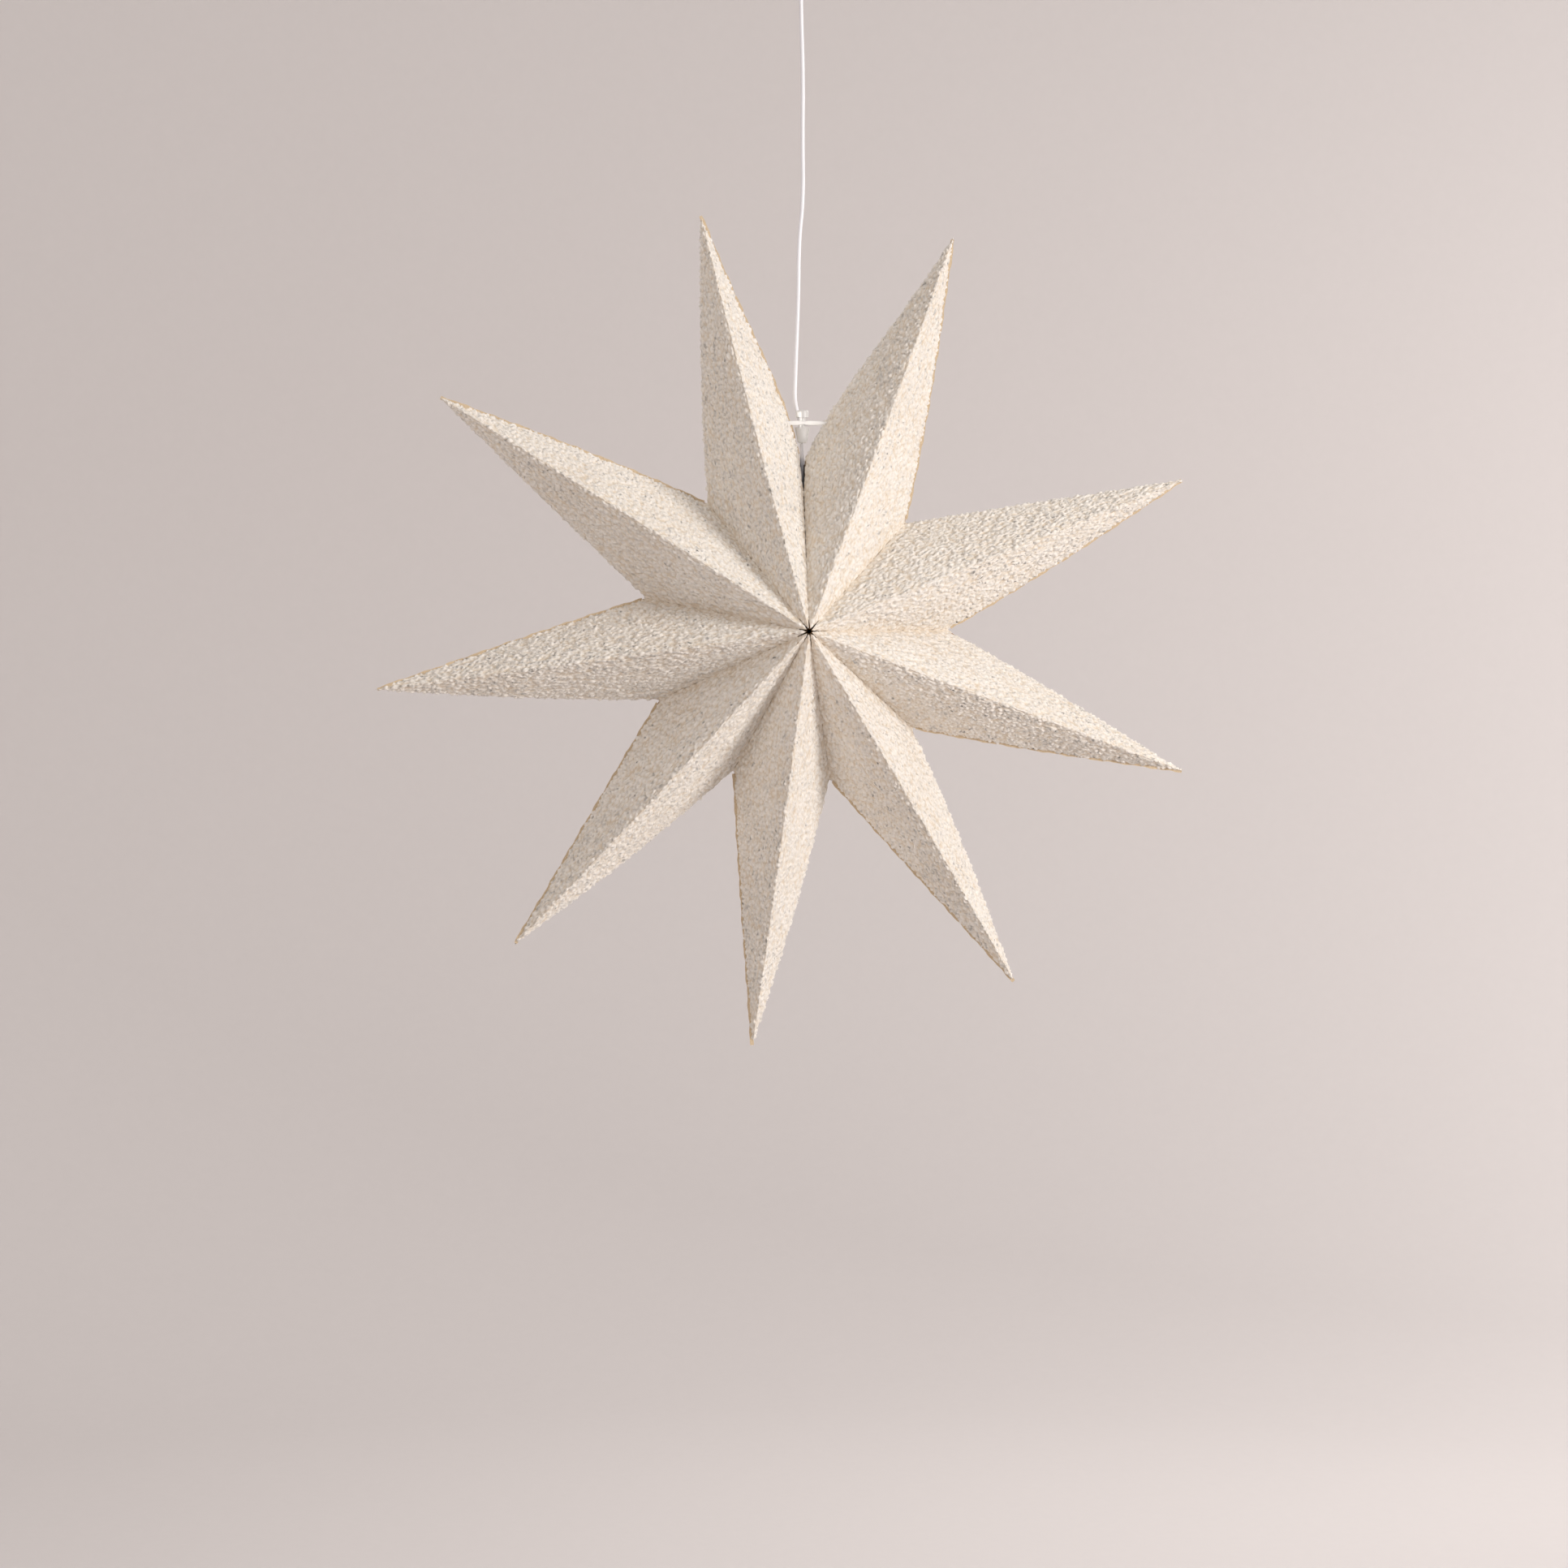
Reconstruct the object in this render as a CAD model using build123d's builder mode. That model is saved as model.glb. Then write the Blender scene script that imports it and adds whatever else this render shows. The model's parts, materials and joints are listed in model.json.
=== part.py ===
from build123d import *
import math
import os

# Hanging star lantern: nine folded card points laminated with looped wool cloth, closed round a
# lead with a clear clip and a tie, a small screw lampholder with its bulb inside, and a ceiling cup.
# Millimetres, +Z up, the front faces -Y. The origin is where the ceiling plate meets the ceiling.

# star
star_radius = 300.0        # centre to the tip of a point
valley_radius = 110.0      # centre to a glued valley's outer end
opening_radius = 123.0     # the same at the open valley, where the lead comes in
star_half_depth = 88.0     # middle plane to the front or back centre
card_wall = 2.0            # card and cloth together
centre_hole = 5.0          # where the nine points don't quite meet
opening_clearance = 0.8    # each side of the lead, between the free edges at the open valley
star_drop = 520.0          # ceiling to the star's centre
star_x = -3.3              # the star hangs a little to the left of the ceiling cup
tip_angles = [-13, 22, 69, 110, 148, 186, 222, 262, 303]       # clockwise from straight up
valley_angles = [2.2, 46, 90, 130, 167, 204, 243, 282, 325]    # the first is the open one

# ceiling cup
plate_margin = 6.0         # cup rim to the plate's round edge
plate_thickness = 2.5
plate_hole = 4.6
plate_hole_spacing = 50.0
plate_window = 12.0        # for the house wiring
lug_height = 10.0
lug_width = 12.0
lug_thickness = 1.6
cup_diameter = 84.0
cup_height = 48.0
cup_wall = 2.0
cup_gap = 0.4              # cup rim to the ceiling
cup_rounding = 12.0
cup_screw = 3.0
cup_screw_reach = 8.0
cup_screw_head = 1.6
cup_screw_slot = 0.8
lug_clearance = 1.2        # cup wall to lug

# swivel ball and its gland
ball_diameter = 12.0
seat_clearance = 0.06
ball_rise = 4.4            # the cup's underside to the ball's centre
gland_thread = 16.0
gland_rise = 3.0           # the ball's centre to the gland's top
gland_flange = 22.0
gland_flange_thickness = 2.5
gland_mouth_wall = 1.6
gland_reach = 14.0         # the ball's centre to the gland's mouth
throat_radius = 3.4
mouth_radius = 5.6
nut_width = 22.0
nut_height = 5.0
thread_clearance = 0.05

# lead
cord_diameter = 2.8
cord_bore_clearance = 0.06
stop_diameter = 6.0
stop_length = 5.0
# The lead's route: x from the star's centre, y, and height above the star's centre.
cord_route = [
    (3.4, 0.0, 445), (5.2, -0.3, 392), (4.8, 0.2, 348), (5.4, 0.0, 306), (2.2, 0.2, 276),
    (1.9, 0.0, 238), (0.5, 0.1, 202), (-0.4, 0.0, 177), (-0.7, 0.4, 163), (1.8, 4.0, 154),
    (4.2, 5.8, 146), (4.9, 5.3, 136), (4.7, 2.0, 124), (4.7, 0.3, 110), (4.7, 0.0, 95),
]

# clear clip and closing tie
clip_head_radius = 4.4
clip_neck_radius = 2.2
clip_body_radius = 5.4
clip_foot_radius = 3.3
clip_head_top = 156.0      # heights above the star's centre
clip_head_bottom = 151.0
clip_body_top = 144.0
clip_bottom = 133.0
channel_clearance = 0.15
tie_height = 147.0
tie_offset = 2.8           # the open valley leans to the right of the clip
tie_half_length = 16.5
tie_to_lead = 5.1          # middle plane to the lead's centre where it passes behind the tie
tie_thickness = 0.9
tie_band = 2.6
tie_hole = 2.7

# terminal block
block_y = 22.0
block_length = 24.0
block_width = 12.0
block_height = 14.0
block_spacing = 12.0       # between its two screws
well_radius = 2.3
well_depth = 6.0
well_screw_radius = 2.25
well_screw_height = 4.8    # under the slotted part
well_screw_slot = 0.7
well_slot_depth = 1.2

# lampholder, a small screw size
holder_diameter = 28.0
holder_wall = 1.8
holder_top = 82.0          # heights above the star's centre
grip_depth = 8.0           # how far the lead reaches into the holder's cap
cap_height = 22.0
shell_height = 34.0
cap_neck_radius = 6.5
cap_neck_height = 7.0
cap_shoulder_drop = 13.0   # cap top to its full width
cap_inset = 1.2            # the shell's outside to the cap's
grip_screw_drop = 3.5
grip_screw_radius = 1.45
grip_hole_radius = 1.5
grip_hole_depth = 12.0
grip_screw_proud = 0.6
grip_screw_clearance = 0.1
shell_shoulder = 6.0
shell_narrowing = 2.5
ring_width = 3.5
ring_height = 6.0
ring_drop = 14.0           # cap's lower edge to the ring
insert_diameter = 22.0
insert_rise = 4.0
terminal_spacing = 13.0
terminal_well_radius = 1.9
terminal_radius = 1.85
terminal_depth = 4.0
terminal_height = 5.0
socket_outer = 16.6
socket_wall = 0.4
socket_clearance = 0.05

# bulb
bulb_diameter = 45.0
bulb_cap_diameter = 14.0
bulb_cap_height = 22.0
cap_sheet = 0.6
foot_radius = 3.2
shoulder_radius = 5.4
thread_pitch = 2.82
thread_depth = 0.45
crests = 5
glass_wall = 0.8
filament_count = 4
filament_length = 26.0
filament_circle = 8.0
filament_radius = 0.9

os.makedirs("parts", exist_ok=True)
opening_gap = cord_diameter + 2 * opening_clearance
tie_half_width = tie_to_lead - cord_diameter / 2
plate_diameter = cup_diameter - 2 * plate_margin
ball_drop = cup_gap + cup_height - ball_rise         # ceiling to the ball's centre
gland_bottom = ball_drop + gland_reach
cord_top = ball_drop - ball_diameter / 2 - stop_length
lamp_x = star_x + opening_radius * math.sin(math.radians(valley_angles[0]))


def write_node(part, name):
    part.label = name
    export_step(part, f"parts/{name}.step")


def above_star(height):
    """Height in the model of a level given from the star's centre."""
    return height - star_drop


def level(height, x=lamp_x):
    """Level plane through the lamp's axis, at a height given from the star's centre."""
    return Plane((x, 0, above_star(height)))


def revolve_profile(points, axis_x, height_of):
    """Solid of revolution about a vertical axis, from radius and height pairs."""
    with BuildPart() as turned:
        with BuildSketch(Plane.XZ):
            with BuildLine():
                Polyline(*[(axis_x + r, height_of(h)) for r, h in points], close=True)
            make_face()
        revolve(axis=Axis((axis_x, 0, 0), (0, 0, 1)))
    return turned.part


# Star points


def compass(radius, angle):
    """Point in the star's middle plane, clockwise from straight up."""
    turn = math.radians(angle)
    return Vector(radius * math.sin(turn), 0, radius * math.cos(turn))


def double_pyramid(tip, left, right, half_depth):
    """Closed solid between two valleys: middle-plane corners and the front and back centres."""
    front = Vector(0, -half_depth, 0)
    back = Vector(0, half_depth, 0)
    faces = []
    for centre in (front, back):
        faces.append(Face(Wire.make_polygon([tip, left, centre])))
        faces.append(Face(Wire.make_polygon([tip, right, centre])))
    faces.append(Face(Wire.make_polygon([left, front, back])))
    faces.append(Face(Wire.make_polygon([right, front, back])))
    return Solid(Shell(faces))


def inner_corners(tip, left, right, wall):
    """Middle-plane corners and half depth of the hollow, one wall inside every panel."""
    lines = []
    depths = []
    for valley in (left, right):
        edge = (tip - valley).normalized()
        toward_centre = Vector(-edge.Z, 0, edge.X)
        if toward_centre.dot(valley) > 0:
            toward_centre = -toward_centre
        reach = -toward_centre.dot(valley)
        slant = math.hypot(star_half_depth, reach)
        lines.append((valley + toward_centre * (wall * slant / star_half_depth), edge))
        depths.append(star_half_depth - wall * slant / reach)
    inner_tip = meet(*lines[0], *lines[1])
    centre = Vector(0, 0, 0)
    inner_left = meet(*lines[0], centre, left.normalized())
    inner_right = meet(*lines[1], centre, right.normalized())
    return inner_tip, inner_left, inner_right, min(depths)


def meet(point_a, along_a, point_b, along_b):
    """Where two lines in the middle plane cross."""
    across = along_a.X * along_b.Z - along_a.Z * along_b.X
    gap = point_b - point_a
    return point_a + along_a * ((gap.X * along_b.Z - gap.Z * along_b.X) / across)


half_gap_angle = math.degrees(opening_gap / 2 / opening_radius)
for number, tip_angle in enumerate(tip_angles, start=1):
    left_angle = valley_angles[number - 2]
    right_angle = valley_angles[number - 1]
    left_radius = right_radius = valley_radius
    if number == 1:        # the open valley is on its right
        right_angle -= half_gap_angle
        right_radius = opening_radius
    if number == 2:        # and on the left of this one
        left_angle += half_gap_angle
        left_radius = opening_radius
    tip = compass(star_radius, tip_angle)
    left = compass(left_radius, left_angle)
    right = compass(right_radius, right_angle)
    centre = Location((star_x, 0, above_star(0)))
    outside = double_pyramid(tip, left, right, star_half_depth).moved(centre)
    inside = double_pyramid(*inner_corners(tip, left, right, card_wall)).moved(centre)
    with BuildPart() as star_point:
        add(outside)
        add(inside, mode=Mode.SUBTRACT)
        with Locations(Location((star_x, 0, above_star(0)), (90, 0, 0))):
            Cylinder(centre_hole / 2, 2.2 * star_half_depth, mode=Mode.SUBTRACT)
        if number <= 2:
            with Locations(Location((lamp_x, 0, above_star(tie_height)), (0, 90, 0))):
                Cylinder(tie_hole, 2.4 * tie_half_length, mode=Mode.SUBTRACT)
    write_node(star_point.part, f"star_point_{number}")

# Closing tie

tie_x = lamp_x + tie_offset
with BuildPart() as closing_tie:
    with BuildSketch(level(tie_height - tie_band / 2, tie_x)):
        Ellipse(tie_half_length, tie_half_width)
        Ellipse(tie_half_length - tie_thickness, tie_half_width - tie_thickness, mode=Mode.SUBTRACT)
    extrude(amount=tie_band)
write_node(closing_tie.part, "closing_tie")

# Lead


def route_radii(points):
    """Arc radius at each inner point: 0.45 of the shorter run over the tangent of half the turn."""
    radii = []
    for before, at, after in zip(points, points[1:], points[2:]):
        turn = (at - before).get_angle(after - at)
        shorter = min((at - before).length, (after - at).length)
        radii.append(0.45 * shorter / math.tan(math.radians(turn / 2)))
    return radii


route = [Vector(0, 0, -cord_top)]
route += [Vector(star_x + x, y, above_star(height)) for x, y, height in cord_route]
route.append(Vector(lamp_x, 0, above_star(holder_top - grip_depth)))
radii = route_radii(route)
print("lead radii, mm:", [round(radius) for radius in radii])
with BuildLine() as lead_path:
    FilletPolyline(*route, radius=radii)
lead_wire = lead_path.wire()
lead_length = lead_wire.length


def lead_tube(radius):
    with BuildPart() as tube:
        with BuildSketch(Plane(lead_wire @ 0, z_dir=lead_wire % 0)):
            Circle(radius)
        sweep(path=lead_wire)
    return tube.part


power_cord = lead_tube(cord_diameter / 2)
section = math.pi * cord_diameter ** 2 / 4
print(f"lead length {lead_length:.1f} mm, volume share {power_cord.volume / section / lead_length:.4f}")
write_node(power_cord, "power_cord")

# Clear clip

clip_channel = lead_tube(cord_diameter / 2 + channel_clearance)
with BuildPart() as cord_clip:
    with BuildSketch(Plane.XZ):
        with BuildLine():
            Polyline(
                (lamp_x, above_star(clip_head_top)),
                (lamp_x + clip_head_radius, above_star(clip_head_top)),
                (lamp_x + clip_head_radius, above_star(clip_head_bottom)),
                (lamp_x + clip_neck_radius, above_star(clip_head_bottom)),
                (lamp_x + clip_neck_radius, above_star(clip_body_top)),
                (lamp_x + clip_body_radius, above_star(clip_body_top)),
                (lamp_x + clip_foot_radius, above_star(clip_bottom)),
                (lamp_x, above_star(clip_bottom)),
                close=True,
            )
        make_face()
    revolve(axis=Axis((lamp_x, 0, 0), (0, 0, 1)))
    fillet(cord_clip.edges().filter_by(GeomType.CIRCLE).group_by(Axis.Z)[0], 1.2)
    fillet(cord_clip.edges().filter_by(GeomType.CIRCLE).group_by(Axis.Z)[-1], 0.8)
    add(clip_channel, mode=Mode.SUBTRACT)
write_node(cord_clip.part, "cord_clip")

# Swivel ball, its stop and the gland

bore_radius = cord_diameter / 2 + cord_bore_clearance
with BuildPart() as swivel_ball:
    with Locations((0, 0, -ball_drop)):
        Sphere(ball_diameter / 2)
        Cylinder(bore_radius, 2 * ball_diameter, mode=Mode.SUBTRACT)
write_node(swivel_ball.part, "swivel_ball")

stop_bottom = -ball_drop + ball_diameter / 2 + thread_clearance
with BuildPart() as cord_stop:
    with BuildSketch(Plane.XY.offset(stop_bottom)):
        Circle(stop_diameter / 2)
    extrude(amount=stop_length)
    fillet(cord_stop.edges().filter_by(GeomType.CIRCLE).group_by(Axis.Z)[-1], 0.8)
    add(lead_tube(cord_diameter / 2), mode=Mode.SUBTRACT)
write_node(cord_stop.part, "cord_stop")

cup_bottom = -cup_gap - cup_height
seat_radius = ball_diameter / 2 + seat_clearance
throat_drop = math.sqrt(seat_radius ** 2 - throat_radius ** 2)
with BuildPart() as cord_gland:
    with BuildSketch(Plane.XZ):
        with BuildLine():
            Polyline(
                (0, -ball_drop + gland_rise), (gland_thread / 2, -ball_drop + gland_rise),
                (gland_thread / 2, cup_bottom), (gland_flange / 2, cup_bottom),
                (gland_flange / 2, cup_bottom - gland_flange_thickness),
                (mouth_radius + gland_mouth_wall, -gland_bottom), (0, -gland_bottom), close=True,
            )
        make_face()
        with BuildLine():
            Polyline(
                (0, -ball_drop - throat_drop), (throat_radius, -ball_drop - throat_drop),
                (mouth_radius, -gland_bottom), (0, -gland_bottom), close=True,
            )
        make_face(mode=Mode.SUBTRACT)
    revolve(axis=Axis.Z)
    with Locations((0, 0, -ball_drop)):
        Sphere(seat_radius, mode=Mode.SUBTRACT)
        Cylinder(seat_radius, ball_diameter, align=(Align.CENTER, Align.CENTER, Align.MIN),
                 mode=Mode.SUBTRACT)
write_node(cord_gland.part, "cord_gland")

with BuildPart() as gland_nut:
    with BuildSketch(Plane.XY.offset(cup_bottom + cup_wall)):
        RegularPolygon(nut_width / 2, 6, major_radius=False)
        Circle(gland_thread / 2 + thread_clearance, mode=Mode.SUBTRACT)
    extrude(amount=nut_height)
write_node(gland_nut.part, "gland_nut")

# Ceiling plate and cup

lug_x = cup_diameter / 2 - cup_wall - lug_clearance
with BuildPart() as ceiling_plate:
    with BuildSketch(Plane.XY):
        Circle(plate_diameter / 2)
        with GridLocations(2 * (lug_x - lug_width / 2), 1, 2, 1):
            Rectangle(lug_width, lug_width)
        Circle(plate_window / 2, mode=Mode.SUBTRACT)
        with GridLocations(plate_hole_spacing, 1, 2, 1):
            Circle(plate_hole / 2, mode=Mode.SUBTRACT)
    extrude(amount=-plate_thickness)
    with BuildSketch(Plane.XY.offset(-plate_thickness)):
        with GridLocations(2 * lug_x - lug_thickness, 1, 2, 1):
            Rectangle(lug_thickness, lug_width)
    extrude(amount=-lug_height)
    with Locations(Location((0, 0, -plate_thickness - lug_height / 2), (0, 90, 0))):
        Cylinder(cup_screw / 2 + thread_clearance, cup_diameter, mode=Mode.SUBTRACT)
write_node(ceiling_plate.part, "ceiling_plate")

with BuildPart() as ceiling_cup:
    with BuildSketch(Plane.XY.offset(-cup_gap)):
        Circle(cup_diameter / 2)
    extrude(amount=-cup_height)
    fillet(ceiling_cup.edges().filter_by(GeomType.CIRCLE).group_by(Axis.Z)[0], cup_rounding)
    offset(amount=-cup_wall, openings=ceiling_cup.faces().sort_by(Axis.Z)[-1])
    with Locations((0, 0, cup_bottom)):
        Cylinder(gland_thread / 2 + thread_clearance, 4 * cup_wall, mode=Mode.SUBTRACT)
    with Locations(Location((0, 0, -plate_thickness - lug_height / 2), (0, 90, 0))):
        Cylinder(cup_screw / 2 + thread_clearance, 1.2 * cup_diameter, mode=Mode.SUBTRACT)
write_node(ceiling_cup.part, "ceiling_cup")

screw_z = -plate_thickness - lug_height / 2
screw_face = cup_diameter / 2
with BuildPart() as cup_screws:
    with BuildSketch(Plane((screw_face, 0, screw_z), z_dir=(1, 0, 0))):
        Circle(cup_screw)
    extrude(amount=cup_screw_head)
    with BuildSketch(Plane((screw_face, 0, screw_z), z_dir=(-1, 0, 0))):
        Circle(cup_screw / 2)
    extrude(amount=cup_screw_reach)
    with Locations((screw_face + cup_screw_head, 0, screw_z)):
        Box(1.4, 2 * cup_screw, cup_screw_slot, mode=Mode.SUBTRACT)
    mirror(about=Plane.YZ)
write_node(cup_screws.part, "cup_screws")

block_top = -plate_thickness
block_bottom = block_top - block_height
with BuildPart() as terminal_block:
    with BuildSketch(Plane((0, block_y, block_top))):
        Rectangle(block_length, block_width)
    extrude(amount=-block_height)
    with BuildSketch(Plane((0, block_y, block_bottom))):
        with GridLocations(block_spacing, 1, 2, 1):
            Circle(well_radius)
    extrude(amount=well_depth, mode=Mode.SUBTRACT)
write_node(terminal_block.part, "terminal_block")

with BuildPart() as terminal_screws:
    with BuildSketch(Plane((0, block_y, block_bottom))):
        with GridLocations(block_spacing, 1, 2, 1):
            Circle(well_screw_radius)
            Rectangle(2 * well_radius, well_screw_slot, mode=Mode.SUBTRACT)
    extrude(amount=well_slot_depth, dir=(0, 0, 1))
    with BuildSketch(Plane((0, block_y, block_bottom + well_slot_depth))):
        with GridLocations(block_spacing, 1, 2, 1):
            Circle(well_screw_radius)
    extrude(amount=well_screw_height, dir=(0, 0, 1))
write_node(terminal_screws.part, "terminal_screws")

# Lampholder

holder_radius = holder_diameter / 2
cap_bottom = holder_top - cap_height
cap_radius = holder_radius - cap_inset
cap_floor = holder_top - cap_neck_height - 1.2
holder_cap = revolve_profile(
    [(bore_radius, holder_top), (cap_neck_radius, holder_top),
     (cap_neck_radius, holder_top - cap_neck_height), (cap_radius, holder_top - cap_shoulder_drop),
     (cap_radius, cap_bottom), (cap_radius - holder_wall, cap_bottom),
     (cap_radius - holder_wall, holder_top - cap_shoulder_drop - 0.6),
     (cap_neck_radius - holder_wall, cap_floor), (bore_radius, cap_floor)],
    lamp_x, above_star)
grip_tip = cord_diameter / 2 + grip_screw_clearance
grip_height = above_star(holder_top - grip_screw_drop)
with BuildPart() as cap_with_screw_hole:
    add(holder_cap)
    with Locations(Location((lamp_x, -grip_tip - grip_hole_depth / 2, grip_height), (90, 0, 0))):
        Cylinder(grip_hole_radius, grip_hole_depth, mode=Mode.SUBTRACT)
write_node(cap_with_screw_hole.part, "holder_cap")

grip_head = cap_neck_radius + grip_screw_proud
with BuildPart() as grip_screw:
    with BuildSketch(Plane((lamp_x, -grip_head, grip_height), z_dir=(0, 1, 0))):
        Circle(grip_screw_radius)
    extrude(amount=grip_head - grip_tip)
    with Locations((lamp_x, -grip_head, grip_height)):
        Box(3.2, 1.0, 0.6, mode=Mode.SUBTRACT)
write_node(grip_screw.part, "grip_screw")

shell_bottom = cap_bottom - shell_height
shell_mouth = socket_outer / 2 + 2 * socket_clearance
holder_shell = revolve_profile(
    [(holder_radius - holder_wall, cap_bottom), (holder_radius, cap_bottom),
     (holder_radius, shell_bottom + shell_shoulder), (holder_radius - shell_narrowing, shell_bottom),
     (shell_mouth, shell_bottom), (shell_mouth, shell_bottom + holder_wall),
     (holder_radius - shell_narrowing - holder_wall, shell_bottom + holder_wall),
     (holder_radius - holder_wall, shell_bottom + shell_shoulder)],
    lamp_x, above_star)
write_node(holder_shell, "holder_shell")

ring_bore = holder_radius + thread_clearance
ring_outer = holder_radius + ring_width
ring_top = cap_bottom - ring_drop
shade_ring = revolve_profile(
    [(ring_bore, ring_top), (ring_outer, ring_top), (ring_outer, ring_top - ring_height / 2),
     (holder_radius + 2, ring_top - ring_height), (ring_bore, ring_top - ring_height)],
    lamp_x, above_star)
write_node(shade_ring, "shade_ring")

insert_radius = insert_diameter / 2
insert_top = cap_bottom + insert_rise
socket_radius = socket_outer / 2
insert_floor = cap_bottom - 2
holder_insert = revolve_profile(
    [(0, insert_top), (insert_radius, insert_top), (insert_radius, shell_bottom + 4),
     (socket_radius + socket_clearance, shell_bottom + 4),
     (socket_radius + socket_clearance, insert_floor),
     (0, insert_floor)],
    lamp_x, above_star)
with BuildPart() as insert_with_terminals:
    add(holder_insert)
    with BuildSketch(level(insert_top)):
        with GridLocations(terminal_spacing, 1, 2, 1):
            Circle(terminal_well_radius)
    extrude(amount=-terminal_depth, mode=Mode.SUBTRACT)
write_node(insert_with_terminals.part, "holder_insert")

with BuildPart() as holder_terminals:
    with BuildSketch(level(insert_top - terminal_depth)):
        with GridLocations(terminal_spacing, 1, 2, 1):
            Circle(terminal_radius)
    extrude(amount=terminal_height)
    with BuildSketch(level(insert_top - terminal_depth + terminal_height)):
        with GridLocations(terminal_spacing, 1, 2, 1):
            Rectangle(4, 0.6)
    extrude(amount=-0.8, mode=Mode.SUBTRACT)
write_node(holder_terminals.part, "holder_terminals")

socket_bottom = shell_bottom + 3
side_contact = revolve_profile(
    [(socket_radius - socket_wall, insert_floor), (socket_radius, insert_floor),
     (socket_radius, socket_bottom), (socket_radius - socket_wall, socket_bottom)],
    lamp_x, above_star)
write_node(side_contact, "side_contact")

with BuildPart() as centre_contact:
    with BuildSketch(Plane((lamp_x, 2, above_star(0)), x_dir=(1, 0, 0), z_dir=(0, -1, 0))):
        with BuildLine():
            Polyline((-5, insert_floor), (-5, insert_floor - 0.6), (-2, insert_floor - 0.6),
                     (2, insert_floor - 3.4), (2.6, insert_floor - 3.0), (-1.6, insert_floor),
                     close=True)
        make_face()
    extrude(amount=4)
write_node(centre_contact.part, "centre_contact")

# Bulb

foot_top = insert_floor - 3.6
cap_shoulder = foot_top - 2.6
cap_rim = foot_top - bulb_cap_height
thread_radius = bulb_cap_diameter / 2
bulb_foot = revolve_profile(
    [(0, foot_top), (2.2, foot_top - 0.3), (foot_radius, foot_top - 1.2), (0, foot_top - 1.2)],
    lamp_x, above_star)
write_node(bulb_foot, "bulb_foot")

bulb_insulator = revolve_profile(
    [(0, foot_top - 1.2), (foot_radius, foot_top - 1.2), (shoulder_radius, cap_shoulder), (0, cap_shoulder)],
    lamp_x, above_star)
write_node(bulb_insulator, "bulb_insulator")

thread_outline = [(0, cap_shoulder), (shoulder_radius, cap_shoulder),
                  (thread_radius - thread_depth, cap_shoulder - 1)]
for crest in range(crests):
    crest_height = cap_shoulder - 1 - (crest + 0.5) * thread_pitch
    thread_outline.append((thread_radius, crest_height))
    thread_outline.append((thread_radius - thread_depth, crest_height - thread_pitch / 2))
thread_outline += [(thread_radius, cap_rim + 2), (thread_radius, cap_rim),
                   (thread_radius - cap_sheet, cap_rim), (thread_radius - cap_sheet, cap_shoulder - 1.5),
                   (0, cap_shoulder - 0.6)]
bulb_cap = revolve_profile(thread_outline, lamp_x, above_star)
write_node(bulb_cap, "bulb_cap")

bulb_radius = bulb_diameter / 2
neck_inside = thread_radius - 0.7
globe_height = cap_rim - 7 - bulb_radius


def glass_outline(globe, neck):
    """Half section of the globe and its neck, from the bottom of the axis to the axis again."""
    join = math.sqrt(globe ** 2 - neck ** 2)
    neck_top = cap_rim + 4
    with BuildLine() as outline:
        Line((lamp_x, above_star(neck_top)), (lamp_x + neck, above_star(neck_top)))
        Line((lamp_x + neck, above_star(neck_top)), (lamp_x + neck, above_star(globe_height + join)))
        ThreePointArc((lamp_x + neck, above_star(globe_height + join)),
                      (lamp_x + globe, above_star(globe_height)),
                      (lamp_x, above_star(globe_height - globe)))
        Line((lamp_x, above_star(globe_height - globe)), (lamp_x, above_star(neck_top)))
    return outline.wire()


with BuildPart() as bulb_glass:
    with BuildSketch(Plane.XZ):
        make_face(glass_outline(bulb_radius, neck_inside))
        make_face(glass_outline(bulb_radius - glass_wall, neck_inside - glass_wall), mode=Mode.SUBTRACT)
    revolve(axis=Axis((lamp_x, 0, 0), (0, 0, 1)))
write_node(bulb_glass.part, "bulb_glass")

stem_top = cap_rim + 3.5
bulb_stem = revolve_profile(
    [(0, stem_top), (neck_inside - glass_wall - 0.1, stem_top), (4.2, stem_top - 4), (2.0, stem_top - 12),
     (1.2, globe_height + 12), (0, globe_height + 12)],
    lamp_x, above_star)
write_node(bulb_stem, "bulb_stem")

with BuildPart() as bulb_filaments:
    with BuildSketch(level(globe_height + 11.9)):
        Circle(1.2)
    extrude(amount=-1.2)
    with BuildSketch(level(globe_height + 10.7)):
        with PolarLocations(filament_circle / 2, filament_count):
            Rectangle(filament_circle, 0.8)
    extrude(amount=-0.8)
    with BuildSketch(level(globe_height + 10.7)):
        with PolarLocations(filament_circle, filament_count):
            Circle(filament_radius)
    extrude(amount=-filament_length)
write_node(bulb_filaments.part, "bulb_filaments")
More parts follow.
